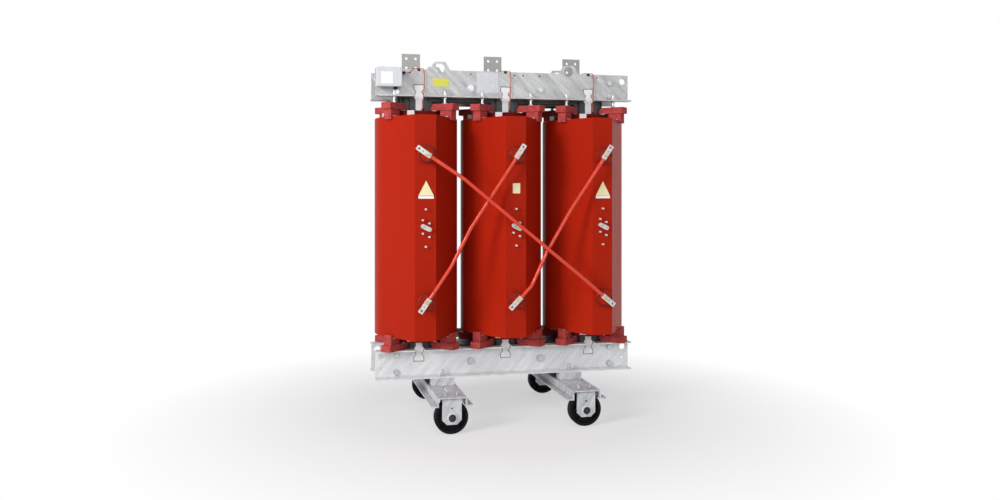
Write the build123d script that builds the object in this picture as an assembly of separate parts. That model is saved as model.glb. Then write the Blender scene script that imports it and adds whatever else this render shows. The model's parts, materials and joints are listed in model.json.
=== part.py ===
from build123d import *
import os
from math import sin, cos, radians, degrees, sqrt, atan2, acos

# Three-column dry type transformer with cast windings, clamped core and turning wheels.
# Millimetres, +Z up, front at -Y, origin at the bottom centre of the overall box.

os.makedirs("parts", exist_ok=True)

# ---------------------------------------------------------------- driving dimensions
wheel_gauge = 820.0          # wheel spacing along X
wheel_base = 900.0           # wheel spacing along Y
wheel_dia = 200.0
wheel_width = 50.0
axle_dia = 30.0
hv_outer_r = 259.0
column_gap = 32.0            # free air between neighbouring outer windings
coil_pitch = 2 * hv_outer_r + column_gap
hv_inner_r = 213.0
lv_outer_r = 182.0
lv_inner_r = 142.0
limb_r = 130.0               # circle around the stepped limb
panel_width = 128.0          # flat terminal panel of the outer winding
panel_front = 385.0          # its distance from the column axis
frame_overhang = 270.0       # frame past the outer column axis
frame_length = 2 * (coil_pitch + frame_overhang)
plate_t = 8.0                # thickness of all clamp plates
flange_depth = 65.0
bar_dia = 22.0

# ---------------------------------------------------------------- clearances
run_gap = 0.05               # wheel bore on axle, per side
slip_gap = 0.5               # bolt in hole, per side
seat_gap = 0.3               # curved face beside another body
key_gap = 4.0                # tie plate head in its pocket
bracket_gap = 4.0            # wheel to bracket cheek

# ---------------------------------------------------------------- heights
axle_z = wheel_dia / 2
crown_z = wheel_dia + 5.0
carrier_low = crown_z + plate_t
carrier_top = carrier_low + plate_t
spacer_h = 49.0
low_z0 = carrier_top + spacer_h
low_h = 176.0
low_z1 = low_z0 + low_h
block_t = 40.0
pad_t = 4.0
lv_z0 = low_z1 + block_t + pad_t
lv_len = 1420.0
lv_z1 = lv_z0 + lv_len
end_step = 40.0              # how far the inner winding stands past the outer one
hv_z0 = lv_z0 + end_step
hv_z1 = lv_z1 - end_step
mid_z = (hv_z0 + hv_z1) / 2
bolt_gap_z = 41.0            # upper block to upper frame, bridged by the set bolts
up_z0 = lv_z1 + pad_t + block_t + bolt_gap_z
up_h = 173.0
up_z1 = up_z0 + up_h
lug_rise = 52.0

# ---------------------------------------------------------------- depths
web_in = 117.0
web_out = web_in + plate_t
flange_out = web_out + flange_depth
low_yoke_z = low_z0 + 85.0
up_yoke_z = up_z0 + 65.0
yoke_half = 98.0
pack_edges = [0.0, 40.0, 75.0, 98.0, web_in]

columns = {"left": -coil_pitch, "centre": 0.0, "right": coil_pitch}


# ---------------------------------------------------------------- helpers
def box(x0, x1, y0, y1, z0, z1):
    return Pos((x0 + x1) / 2, (y0 + y1) / 2, (z0 + z1) / 2) * Box(x1 - x0, y1 - y0, z1 - z0)


def rod_y(x, z, r, y0, y1):
    return Pos(x, (y0 + y1) / 2, z) * Rot(90, 0, 0) * Cylinder(r, y1 - y0)


def rod_z(x, y, r, z0, z1):
    return Pos(x, y, (z0 + z1) / 2) * Cylinder(r, z1 - z0)


def rod_x(y, z, r, x0, x1):
    return Pos((x0 + x1) / 2, y, z) * Rot(0, 90, 0) * Cylinder(r, x1 - x0)


def hex_prism(across_flats, height):
    return extrude(RegularPolygon(across_flats / 2, 6, major_radius=False), height)


def hex_z(x, y, z0, z1, across_flats):
    return Pos(x, y, z0) * hex_prism(across_flats, z1 - z0)


def hex_y(x, z, y0, y1, across_flats):
    return Pos(x, y1, z) * Rot(90, 0, 0) * hex_prism(across_flats, y1 - y0)


def upright(points, y0, y1):
    """Flat plate outline in X and Z, as thick as y0 to y1."""
    return extrude(Plane.XZ.offset(-y1) * make_face(Polyline(*points, close=True)), y1 - y0)


def to_rear(solid):
    return solid.mirror(Plane.XZ)


def save(node, solids):
    bodies = []
    for item in solids:
        bodies.extend(item.solids())
    for body in bodies:
        body.label = node
    whole = bodies[0] if len(bodies) == 1 else Compound(children=bodies)
    whole.label = node
    export_step(whole, "parts/" + node + ".step")


# ---------------------------------------------------------------- laminated core
through_bolt_r = 10.0
through_bolt_dx = coil_pitch / 2 - 50.0


def packet_half_width(edge):
    return sqrt(limb_r ** 2 - edge ** 2)


def packet_half_yoke(edge):
    return min(packet_half_width(edge), yoke_half)


def limb(x):
    body = None
    for inner, outer in zip(pack_edges[:-1], pack_edges[1:]):
        w = packet_half_width(outer)
        h = packet_half_yoke(outer)
        slab = box(x - w, x + w, -outer, outer, low_yoke_z + h, up_yoke_z - h)
        if inner > 0:
            slab = slab - box(x - w - 1, x + w + 1, -inner, inner, low_yoke_z - 200, up_yoke_z + 200)
        body = slab if body is None else body + slab
    return body


def yoke(z):
    body = None
    for inner, outer in zip(pack_edges[:-1], pack_edges[1:]):
        w = packet_half_width(outer)
        h = packet_half_yoke(outer)
        slab = box(-coil_pitch - w, coil_pitch + w, -outer, outer, z - h, z + h)
        body = slab if body is None else body + slab
    for x in (-through_bolt_dx, through_bolt_dx):
        body = body - rod_y(x, z, through_bolt_r + 1.5, -web_in - 1, web_in + 1)
    return body


for side, x in columns.items():
    save("core_limb_" + side, [limb(x)])
save("core_yoke_upper", [yoke(up_yoke_z)])
save("core_yoke_lower", [yoke(low_yoke_z)])

# ---------------------------------------------------------------- tie plates and their pockets
tie_w = 40.0
head_w = 58.0
neck_w = 34.0
head_h = 76.0


def hourglass(x, z_edge, up, grow):
    """Outline of a keyed head that starts at z_edge and runs up (+1) or down (-1)."""
    a = head_w / 2 + grow
    b = neck_w / 2 + grow
    top = z_edge + up * (head_h + grow)
    n0 = z_edge + up * (head_h * 0.38)
    n1 = z_edge + up * (head_h * 0.50)
    w1 = z_edge + up * (head_h * 0.14)
    w2 = z_edge + up * (head_h * 0.68)
    return [(x - a, top), (x - a, w2), (x - b, n1), (x - b, n0), (x - a, w1), (x - a, z_edge)], \
           [(x + a, z_edge), (x + a, w1), (x + b, n0), (x + b, n1), (x + a, w2), (x + a, top)]


def tie_plate(x):
    up_l, up_r = hourglass(x, up_z0, 1, 0.0)
    lo_l, lo_r = hourglass(x, low_z1, -1, 0.0)
    t = tie_w / 2
    taper = 30.0
    pts = []
    pts += up_l[:-1] + [(x - head_w / 2, up_z0 - 4), (x - t, up_z0 - 4 - taper / 3)]
    pts += [(x - t, low_z1 + 4 + taper / 3), (x - head_w / 2, low_z1 + 4)]
    pts += list(reversed(lo_l[:-1]))
    pts += list(reversed(lo_r[1:]))
    pts += [(x + head_w / 2, low_z1 + 4), (x + t, low_z1 + 4 + taper / 3)]
    pts += [(x + t, up_z0 - 4 - taper / 3), (x + head_w / 2, up_z0 - 4)]
    pts += up_r[1:]
    return upright(pts, -web_out, -web_in)


def pocket(x, z_edge, up):
    left, right = hourglass(x, z_edge, up, key_gap)
    over = (head_w / 2 + key_gap, z_edge - up * 20)
    pts = left + [(x - over[0], over[1]), (x + over[0], over[1])] + right
    return upright(pts, -web_out - 0.5, -web_in + 0.5)


front_ties = [tie_plate(x) for x in columns.values()]
save("tie_plates", front_ties + [to_rear(t) for t in front_ties])

# ---------------------------------------------------------------- upper clamp frame
lug_x = coil_pitch - 132.0
lug_base = 130.0
lug_top = 68.0
eye_r = 30.0
eye_rise = 12.0
end_hole_r = 19.5
end_bolt_r = 8.0
end_bolt_dx = coil_pitch + limb_r + end_bolt_r + 2.0
small_hole_r = 6.0
edge_hole_drop = 20.0
edge_holes_x = (60.0, 116.0, 224.0, coil_pitch + 57.0)
bend_r = 10.0
half_len = frame_length / 2
block_angle = 45.0
set_bolt_reach = 222.0       # radial place of the set bolts
set_bolt_r = 8.0
stud_y = 160.0
stud_r = 8.0
end_rows_up = [up_z0 + 31.0, up_z0 + 119.0]
end_rows_low = [low_z0 + 35.0, low_z0 + 139.0]


def along(radius, angle):
    """Point at a radius from a column axis, angle measured from the front."""
    return radius * sin(radians(angle)), -radius * cos(radians(angle))


def bolt_places():
    places = []
    for x in columns.values():
        for angle in (-block_angle, block_angle):
            dx, dy = along(set_bolt_reach, angle)
            places.append((x + dx, dy))
    return places


def bent_section(z0, z1, flanges):
    """Front clamp plate with outward flanges at the chosen heights, bent from one plate."""
    pts = [(-web_in, z0), (-web_in, z1)]
    if "top" in flanges:
        pts += [(-flange_out, z1), (-flange_out, z1 - plate_t), (-web_out, z1 - plate_t)]
    else:
        pts += [(-web_out, z1)]
    if "low" in flanges:
        pts += [(-web_out, z0 + plate_t), (-flange_out, z0 + plate_t), (-flange_out, z0)]
    else:
        pts += [(-web_out, z0)]
    face = Plane.YZ * make_face(Polyline(*pts, close=True))
    solid = Pos(-half_len, 0, 0) * extrude(face, frame_length)
    if "low" in flanges:
        outer = [e for e in solid.edges().filter_by(Axis.X) if abs(e.center().Y + web_in) < 0.01]
        outer = [e for e in outer if abs(e.center().Z - z0) < 0.01]
        inner = [e for e in solid.edges().filter_by(Axis.X) if abs(e.center().Y + web_out) < 0.01]
        inner = [e for e in inner if abs(e.center().Z - z0 - plate_t) < 0.01]
        solid = fillet(outer, bend_r - 4)
        inner = [e for e in solid.edges().filter_by(Axis.X) if abs(e.center().Y + web_out) < 0.01]
        inner = [e for e in inner if abs(e.center().Z - z0 - plate_t) < 0.01]
        solid = fillet(inner, 3.0)
    return solid


def upper_clamp():
    body = bent_section(up_z0, up_z1, ["low"])
    for x in (-lug_x, lug_x):
        outline = [(x - lug_base / 2, up_z1 - 6), (x - lug_base / 2, up_z1)]
        outline += [(x - lug_top / 2, up_z1 + lug_rise), (x + lug_top / 2, up_z1 + lug_rise)]
        outline += [(x + lug_base / 2, up_z1), (x + lug_base / 2, up_z1 - 6)]
        lug = upright(outline, -web_out, -web_in)
        tips = [e for e in lug.edges().filter_by(Axis.Y) if e.center().Z > up_z1 + lug_rise - 1]
        body = body + fillet(tips, 10.0)
        body = body - rod_y(x, up_z1 + eye_rise, eye_r, -web_out - 1, -web_in + 1)
    for x in columns.values():
        body = body - pocket(x, up_z0, 1)
        a = head_w / 2 + key_gap
        body = body - box(x - a, x + a, -flange_out - 1, -web_out + 0.1, up_z0 - 1, up_z0 + plate_t + 3.5)
    for x in (-through_bolt_dx, through_bolt_dx):
        body = body - rod_y(x, up_yoke_z, through_bolt_r + slip_gap, -web_out - 1, -web_in + 1)
    for s in (-1, 1):
        for z in end_rows_up:
            body = body - rod_y(s * end_bolt_dx, z, end_bolt_r + slip_gap, -web_out - 1, -web_in + 1)
        body = body - rod_y(s * (half_len - 38), up_z1 - 41, end_hole_r, -web_out - 1, -web_in + 1)
        for dx in edge_holes_x:
            z = up_z1 - edge_hole_drop
            body = body - rod_y(s * dx, z, small_hole_r, -web_out - 1, -web_in + 1)
    for x, y in bolt_places():
        body = body - rod_z(x, y, set_bolt_r + slip_gap, up_z0 - 1, up_z0 + plate_t + 1)
    return body


upper_front = upper_clamp()
save("upper_clamp_front", [upper_front])
save("upper_clamp_rear", [to_rear(upper_front)])


# ---------------------------------------------------------------- lower clamp frame
def lower_clamp():
    body = bent_section(low_z0, low_z1, ["low", "top"])
    for x in columns.values():
        body = body - pocket(x, low_z1, -1)
        a = head_w / 2 + key_gap
        body = body - box(x - a, x + a, -flange_out - 1, -web_out + 0.1, low_z1 - plate_t - 1, low_z1 + 1)
    for x in (-through_bolt_dx, through_bolt_dx):
        body = body - rod_y(x, low_yoke_z, through_bolt_r + slip_gap, -web_out - 1, -web_in + 1)
    for s in (-1, 1):
        for z in end_rows_low:
            body = body - rod_y(s * end_bolt_dx, z, end_bolt_r + slip_gap, -web_out - 1, -web_in + 1)
        body = body - rod_y(s * (half_len - 38), low_z1 - 38, end_hole_r, -web_out - 1, -web_in + 1)
        body = body - rod_y(s * (half_len - 38), low_z0 + 66, end_bolt_r, -web_out - 1, -web_in + 1)
        x = s * wheel_gauge / 2
        body = body - rod_z(x, -stud_y, stud_r + slip_gap, low_z0 - 1, low_z0 + plate_t + 1)
    return body


lower_front = lower_clamp()
save("lower_clamp_front", [lower_front])
save("lower_clamp_rear", [to_rear(lower_front)])

# ---------------------------------------------------------------- bolts through the frames
washer_t = 4.0
nut_t = 14.0


def through_bolt(x, z, r, flats):
    """Bolt across both clamp plates; head and nut bear on washers."""
    far = web_out + washer_t
    shank = rod_y(x, z, r, -far, far + nut_t + 6)
    head = hex_y(x, z, -far - nut_t * 0.8, -far, flats)
    bolt = shank + head
    washers = []
    for s in (-1, 1):
        y0, y1 = sorted((s * web_out, s * far))
        washers.append(rod_y(x, z, flats * 0.78, y0, y1) - rod_y(x, z, r + slip_gap, y0 - 1, y1 + 1))
    nut = hex_y(x, z, far, far + nut_t, flats) - rod_y(x, z, r + seat_gap, far - 1, far + nut_t + 1)
    return [bolt, nut] + washers


upper_bolts = []
lower_bolts = []
for s in (-1, 1):
    upper_bolts += through_bolt(s * through_bolt_dx, up_yoke_z, through_bolt_r, 30.0)
    lower_bolts += through_bolt(s * through_bolt_dx, low_yoke_z, through_bolt_r, 30.0)
    for z in end_rows_up:
        upper_bolts += through_bolt(s * end_bolt_dx, z, end_bolt_r, 24.0)
    for z in end_rows_low:
        lower_bolts += through_bolt(s * end_bolt_dx, z, end_bolt_r, 24.0)
save("upper_frame_bolts", upper_bolts)
save("lower_frame_bolts", lower_bolts)


# ---------------------------------------------------------------- cast outer windings
boss_dz = 434.0
boss_r = 49.0
boss_top_r = 43.0
boss_h = 48.0
boss_front = panel_front + boss_h
edge_r = 6.0


def hv_outline():
    """Circle joined to the flat front panel by the two tangents."""
    w = panel_width / 2
    reach = sqrt(w ** 2 + panel_front ** 2)
    lean = degrees(atan2(w, panel_front)) + degrees(acos(hv_outer_r / reach))
    tx, ty = along(hv_outer_r, lean)
    back = ThreePointArc((tx, ty), (0, hv_outer_r), (-tx, ty))
    front = Polyline((-tx, ty), (-w, -panel_front), (w, -panel_front), (tx, ty))
    face = make_face([*back.edges(), *front.edges()])
    return fillet([v for v in face.vertices() if v.Y < -panel_front + 1], 3.0)


def hv_coil(x):
    h = hv_z1 - hv_z0
    outer = Pos(x, 0, hv_z0) * extrude(hv_outline(), h)
    rims = [e for e in outer.edges() if abs(e.center().Z - hv_z0) < 0.01 or abs(e.center().Z - hv_z1) < 0.01]
    outer = fillet(rims, edge_r)
    body = outer - rod_z(x, 0, hv_inner_r, hv_z0 - 1, hv_z1 + 1)
    for s in (-1, 1):
        z = mid_z + s * boss_dz
        root = Plane(origin=(x, -panel_front + 4, z), z_dir=(0, -1, 0))
        boss = extrude(root * Circle(boss_r), boss_h + 4)
        front = [e for e in boss.edges() if e.center().Y < -boss_front + 0.01]
        front = [e for e in front if e.geom_type == GeomType.CIRCLE]
        body = body + chamfer(front, boss_r - boss_top_r)
    return body


for side, x in columns.items():
    save("hv_coil_" + side, [hv_coil(x)])


# ---------------------------------------------------------------- inner windings
def lv_coil(x):
    body = rod_z(x, 0, lv_outer_r, lv_z0, lv_z1)
    body = chamfer([e for e in body.edges() if e.geom_type == GeomType.CIRCLE], 3.0)
    return body - rod_z(x, 0, lv_inner_r, lv_z0 - 1, lv_z1 + 1)


for side, x in columns.items():
    save("lv_coil_" + side, [lv_coil(x)])

# ---------------------------------------------------------------- spacers between the windings
spacer_w = 43.0
spacer_stand = 42.0
spacer_depth = 70.0
spacer_angle = -17.0


def winding_spacer(x, angle, top):
    r0 = lv_outer_r + seat_gap
    r1 = sqrt((hv_inner_r - seat_gap) ** 2 - (spacer_w / 2) ** 2)
    z0 = hv_z1 - spacer_depth if top else hv_z0 - spacer_stand * 0.6
    z1 = hv_z1 + spacer_stand * 0.9 if top else hv_z0 + spacer_depth
    block = box(-spacer_w / 2, spacer_w / 2, -r1, -r0, z0, z1)
    return Pos(x, 0, 0) * Rot(0, 0, angle) * block


spacers = []
for x in columns.values():
    for k in range(4):
        spacers.append(winding_spacer(x, spacer_angle + 90 * k, True))
        spacers.append(winding_spacer(x, spacer_angle + 90 * k, False))
save("winding_spacers", spacers)

# ---------------------------------------------------------------- cast support blocks
slab_w = 70.0
slab_in = 138.0
slab_out = 304.0
foot_w = 54.0
foot_in = 205.0
lip_t = 14.0
lip_drop = 18.0


def support_block(x, angle, top):
    """Stepped block; drawn for the lower end along -Y, turned and flipped into place."""
    reach = (hv_outer_r + seat_gap) / cos(radians(lip_lean(angle)))
    zf = end_step - 6.0
    slab = box(-slab_w / 2, slab_w / 2, -slab_out, -slab_in, 0, block_t)
    nose = [e for e in slab.edges().filter_by(Axis.X) if e.center().Y > -slab_in - 1 and e.center().Z < 1]
    slab = chamfer(nose, block_t * 0.6, block_t * 0.45)
    foot = box(-foot_w / 2, foot_w / 2, -reach - lip_t, -foot_in, block_t - 2, block_t + pad_t + zf)
    lip = box(-foot_w / 2, foot_w / 2, -reach - lip_t, -reach, block_t, block_t + pad_t + end_step + lip_drop)
    block = slab + foot + lip
    pad_low = box(-slab_w / 2, slab_w / 2, -lv_outer_r + 4, -slab_in - 8, block_t, block_t + pad_t)
    y0 = -min(reach, slab_out) + 2
    pad_high = box(-foot_w / 2, foot_w / 2, y0 + 8, -hv_inner_r - 2, block_t + pad_t + zf, block_t + pad_t + end_step)
    out = []
    for piece in (block, pad_low, pad_high):
        if top:
            piece = piece.mirror(Plane.XY)
            z = lv_z1 + pad_t + block_t
        else:
            z = low_z1
        out.append(Pos(x, 0, z) * Rot(0, 0, angle) * piece)
    return out


def lip_lean(angle):
    """Angle between a block and the nearest flat side of the winding, zero where it is round."""
    w = panel_width / 2
    reach = sqrt(w ** 2 + panel_front ** 2)
    lean = degrees(atan2(w, panel_front)) + degrees(acos(hv_outer_r / reach))
    a = abs((angle + 180) % 360 - 180)
    half = degrees(atan2(foot_w / 2, hv_outer_r))
    return max(0.0, lean - a + half) if a < lean + half else 0.0


for top, word in ((True, "upper"), (False, "lower")):
    blocks = []
    pads = []
    for x in columns.values():
        for angle in (-block_angle, block_angle, 180 - block_angle, 180 + block_angle):
            block, pad_a, pad_b = support_block(x, angle, top)
            blocks.append(block)
            pads += [pad_a, pad_b]
    save(word + "_blocks", blocks)
    save(word + "_pads", pads)

# ---------------------------------------------------------------- set bolts onto the upper blocks
block_top_z = lv_z1 + pad_t + block_t
set_bolts = []
for x, y in bolt_places():
    for yy in (y, -y):
        body = rod_z(x, yy, set_bolt_r, block_top_z, up_z0 + plate_t + 28)
        body = body + hex_z(x, yy, block_top_z, block_top_z + 10, 24.0)
        nut_low = hex_z(x, yy, up_z0 - 10, up_z0, 24.0) - rod_z(x, yy, set_bolt_r + seat_gap, up_z0 - 11, up_z0 + 1)
        z0 = up_z0 + plate_t
        nut_up = hex_z(x, yy, z0, z0 + 13, 24.0) - rod_z(x, yy, set_bolt_r + seat_gap, z0 - 1, z0 + 14)
        set_bolts += [body, nut_low, nut_up]
save("set_bolts", set_bolts)

# ---------------------------------------------------------------- wheel carriers
carrier_len = 1010.0
carrier_w = 176.0
carrier_total_w = 246.0
carrier_h = 55.0
slot_w = 16.0
slot_from = 190.0
slot_to = 350.0
bracket_bolt_dx = 35.0
bracket_bolt_r = 8.0


def carrier(x):
    a = carrier_w / 2
    b = carrier_total_w / 2
    t = plate_t
    z1 = carrier_top
    z0 = z1 - carrier_h
    pts = [(-b, z0), (-a + t, z0), (-a + t, z1 - t), (a - t, z1 - t), (a - t, z0), (b, z0)]
    pts += [(b, z0 + t), (a, z0 + t), (a, z1), (-a, z1), (-a, z0 + t), (-b, z0 + t)]
    body = upright([(x + px, pz) for px, pz in pts], -carrier_len / 2, carrier_len / 2)
    tops = [e for e in body.edges().filter_by(Axis.Y) if e.center().Z > z1 - 0.01]
    body = fillet(tops, 6.0)
    for s in (-1, 1):
        y0, y1 = sorted((s * slot_from, s * slot_to))
        cut = box(x - slot_w / 2, x + slot_w / 2, y0, y1, z1 - t - 1, z1 + 1)
        for y in (y0, y1):
            cut = cut + rod_z(x, y, slot_w / 2, z1 - t - 1, z1 + 1)
        body = body - cut
        body = body - rod_z(x, s * stud_y, stud_r + slip_gap, z1 - t - 1, z1 + 1)
        for dx in (-bracket_bolt_dx, bracket_bolt_dx):
            body = body - rod_z(x + dx, s * wheel_base / 2, bracket_bolt_r + slip_gap, z1 - t - 1, z1 + 1)
    return body


for side, s in (("left", -1), ("right", 1)):
    save("wheel_carrier_" + side, [carrier(s * wheel_gauge / 2)])

# ---------------------------------------------------------------- spacer blocks and studs
spacer_block_w = 142.0
spacer_blocks = []
carrier_studs = []
for sx in (-1, 1):
    for sy in (-1, 1):
        x = sx * wheel_gauge / 2
        y = sy * stud_y
        y0, y1 = sorted((sy * (flange_out - 75), sy * flange_out))
        block = box(x - spacer_block_w / 2, x + spacer_block_w / 2, y0, y1, carrier_top, low_z0)
        spacer_blocks.append(block - rod_z(x, y, stud_r + slip_gap, carrier_top - 1, low_z0 + 1))
        z0 = low_z0 + plate_t
        stud = rod_z(x, y, stud_r, carrier_low - 10, z0 + 42) + hex_z(x, y, carrier_low - 10, carrier_low, 24.0)
        nut = hex_z(x, y, z0, z0 + 13, 24.0) - rod_z(x, y, stud_r + seat_gap, z0 - 1, z0 + 14)
        carrier_studs += [stud, nut]
save("carrier_spacers", spacer_blocks)
save("carrier_studs", carrier_studs)

# ---------------------------------------------------------------- wheel brackets, axles and wheels
bracket_t = 8.0
bracket_w = 115.0
cheek_in = wheel_width / 2 + bracket_gap
cheek_out = cheek_in + bracket_t
cheek_low = 59.0
cheek_cut = 27.0
side_hole_r = 5.5
side_hole_z = 154.0
corners = {"front_left": (-1, -1), "front_right": (1, -1), "rear_left": (-1, 1), "rear_right": (1, 1)}
axle_washer_r = 29.0


def bracket(x, y):
    w = bracket_w / 2
    shell = box(x - w, x + w, y - cheek_out, y + cheek_out, cheek_low, crown_z + bracket_t)
    tops = [e for e in shell.edges().filter_by(Axis.X) if e.center().Z > crown_z]
    shell = fillet(tops, 10.0)
    lows = [e for e in shell.edges().filter_by(Axis.Y) if e.center().Z < cheek_low + 1]
    shell = chamfer(lows, cheek_cut)
    body = shell - box(x - w - 1, x + w + 1, y - cheek_in, y + cheek_in, cheek_low - 1, crown_z)
    body = body - rod_y(x, axle_z, axle_dia / 2 + seat_gap, y - cheek_out - 1, y + cheek_out + 1)
    body = body - rod_y(x, side_hole_z, side_hole_r, y - cheek_out - 1, y + cheek_out + 1)
    for dx in (-bracket_bolt_dx, bracket_bolt_dx):
        body = body - rod_z(x + dx, y, bracket_bolt_r + slip_gap, crown_z - 1, crown_z + bracket_t + 1)
    return body


def axle(x, y, s):
    """Axle bolt with its head outwards; washers and nut are separate."""
    far = cheek_out + washer_t
    y0, y1 = sorted((y + s * (far), y - s * (far + 26)))
    shank = rod_y(x, axle_z, axle_dia / 2, y0, y1)
    h0, h1 = sorted((y + s * far, y + s * (far + 13)))
    bolt = shank + hex_y(x, axle_z, h0, h1, 46.0)
    out = [bolt]
    for side in (-1, 1):
        w0, w1 = sorted((y + side * cheek_out, y + side * far))
        ring = rod_y(x, axle_z, axle_washer_r, w0, w1)
        out.append(ring - rod_y(x, axle_z, axle_dia / 2 + seat_gap, w0 - 1, w1 + 1))
    n0, n1 = sorted((y - s * far, y - s * (far + 20)))
    nut = hex_y(x, axle_z, n0, n1, 46.0) - rod_y(x, axle_z, axle_dia / 2 + seat_gap, n0 - 1, n1 + 1)
    out.append(nut)
    return out


def wheel(x, y):
    """Cast wheel: rim, web with ribs on both faces, and a bored hub."""
    r = wheel_dia / 2
    w = wheel_width / 2
    hub_r = 34.0
    hub_w = wheel_width / 2 + bracket_gap - 0.5
    rim_in = 80.0
    web = 7.0
    bore = axle_dia / 2 + run_gap
    prof = [(bore, -hub_w), (hub_r, -hub_w), (hub_r, -web), (rim_in, -web), (rim_in + 3, -w), (r - 4, -w)]
    prof += [(r, -w + 4), (r, w - 4), (r - 4, w), (rim_in + 3, w), (rim_in, web), (hub_r, web)]
    prof += [(hub_r, hub_w), (bore, hub_w)]
    body = revolve(Plane.XZ * make_face(Polyline(*prof, close=True)), Axis.Z)
    for k in range(6):
        rib = Rot(0, 0, 60 * k) * box(hub_r - 3, rim_in + 2, -4, 4, -w + 5, w - 5)
        body = body + rib
    return Pos(x, y, axle_z) * Rot(90, 0, 0) * body


axles = []
bracket_bolts = []
for corner, (sx, sy) in corners.items():
    x = sx * wheel_gauge / 2
    y = sy * wheel_base / 2
    save("wheel_bracket_" + corner, [bracket(x, y)])
    save("wheel_" + corner, [wheel(x, y)])
    axles += axle(x, y, sy)
    for dx in (-bracket_bolt_dx, bracket_bolt_dx):
        bolt = rod_z(x + dx, y, bracket_bolt_r, crown_z - 4.5, carrier_top + 24)
        bolt = bolt + rod_z(x + dx, y, 12.0, crown_z - 4.5, crown_z)
        nut = hex_z(x + dx, y, carrier_top, carrier_top + 13, 24.0)
        nut = nut - rod_z(x + dx, y, bracket_bolt_r + seat_gap, carrier_top - 1, carrier_top + 14)
        bracket_bolts += [bolt, nut]
save("axle_bolts", axles)
save("bracket_bolts", bracket_bolts)

# ---------------------------------------------------------------- high voltage terminals and delta bars
insert_r = 15.0
insert_h = 10.0
term_bolt_r = 6.0
lug_t = 6.0
lug_w = 30.0
lug_tail = 26.0
lug_nose = 72.0
free_hole_r = 6.5
free_hole_at = 56.0
mid_hole_at = 28.0
lug_back = boss_front + insert_h
lug_face = lug_back + lug_t
bar_y = -(lug_back + lug_t / 2)
top_z = mid_z + boss_dz
bot_z = mid_z - boss_dz

bar_bow = 16.0               # bar a stands this far in front of its lugs
bar_dip = 20.0               # bars b and c pass this far behind theirs


def way(across, forward, up):
    """Point on a bar route, in shares of the column pitch and of the terminal height."""
    return (across * coil_pitch, bar_y - forward, mid_z + up * boss_dz)


bar_paths = {
    "a": [way(-1, 0, 1), way(-0.60, bar_bow, 0.66), way(0.73, bar_bow, -0.715), way(1, 0, -1)],
    "b": [way(-1, 0, -1), way(-0.73, -bar_dip, -0.515), way(-0.516, -bar_dip, 0.0), way(0, 0, 1)],
    "c": [way(0, 0, -1), way(0.155, -bar_dip / 3, -0.80), way(0.33, -bar_dip, -0.35)]
    + [way(0.61, -bar_dip, 0.245), way(1, 0, 1)],
}


def unit(p, q):
    d = Vector(*q) - Vector(*p)
    return d.normalized()


def terminal_lug(p, q):
    """Flat lug bolted at p; the bar leaves towards q, the free end points away."""
    d = unit((p[0], 0, p[2]), (q[0], 0, q[2]))
    ang = degrees(atan2(d.Z, d.X))
    plate = box(-lug_nose, lug_tail, -lug_t / 2, lug_t / 2, -lug_w / 2, lug_w / 2)
    tips = [e for e in plate.edges().filter_by(Axis.Y) if e.center().X < -lug_nose + 1]
    plate = fillet(tips, 4.0)
    plate = plate - rod_y(0, 0, term_bolt_r + slip_gap, -lug_t, lug_t)
    plate = plate - rod_y(-free_hole_at, 0, free_hole_r, -lug_t, lug_t)
    plate = plate - rod_y(-mid_hole_at, 0, 3.5, -lug_t, lug_t)
    return Pos(p[0], bar_y, p[2]) * Rot(0, -ang, 0) * plate


def bar_ends(path):
    """Path trimmed so that the bar starts where each lug ends, leaving in the lug's plane."""
    first, last = path[0], path[-1]
    d0 = unit((first[0], 0, first[2]), (path[1][0], 0, path[1][2]))
    d1 = unit((last[0], 0, last[2]), (path[-2][0], 0, path[-2][2]))
    a = Vector(*first) + d0 * lug_tail
    a2 = Vector(*first) + d0 * (lug_tail + 40)
    b = Vector(*last) + d1 * lug_tail
    b2 = Vector(*last) + d1 * (lug_tail + 40)
    return [a, a2] + [Vector(*p) for p in path[1:-1]] + [b2, b]


def round_run(points, radius, bend):
    line = FilletPolyline(*points, radius=bend)
    start = line @ 0
    heading = line % 0
    profile = Plane(origin=start, z_dir=heading) * Circle(radius)
    return sweep(profile, path=line)


delta_lugs = []
for key, path in bar_paths.items():
    save("delta_bar_" + key, [round_run(bar_ends(path), bar_dia / 2, 60.0)])
    delta_lugs += [terminal_lug(path[0], path[1]), terminal_lug(path[-1], path[-2])]
save("delta_lugs", delta_lugs)

terminals = []
for x in columns.values():
    for z in (top_z, bot_z):
        stud = rod_y(x, z, insert_r, -lug_back, -boss_front)
        stud = stud + rod_y(x, z, term_bolt_r, -lug_face - 17, -lug_back)
        nut = hex_y(x, z, -lug_face - 10, -lug_face, 19.0)
        nut = nut - rod_y(x, z, term_bolt_r + seat_gap, -lug_face - 11, -lug_face + 1)
        terminals += [stud, nut]
save("hv_terminals", terminals)

# ---------------------------------------------------------------- tap studs and links
tap_r = 6.0
tap_h = 22.0
tap_columns = {-18.0: (46.0, 10.0, -33.0), 21.0: (27.0, -9.0, -53.0)}
single_dz = 110.0
link_w = 26.0
link_t = 5.0

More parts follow.
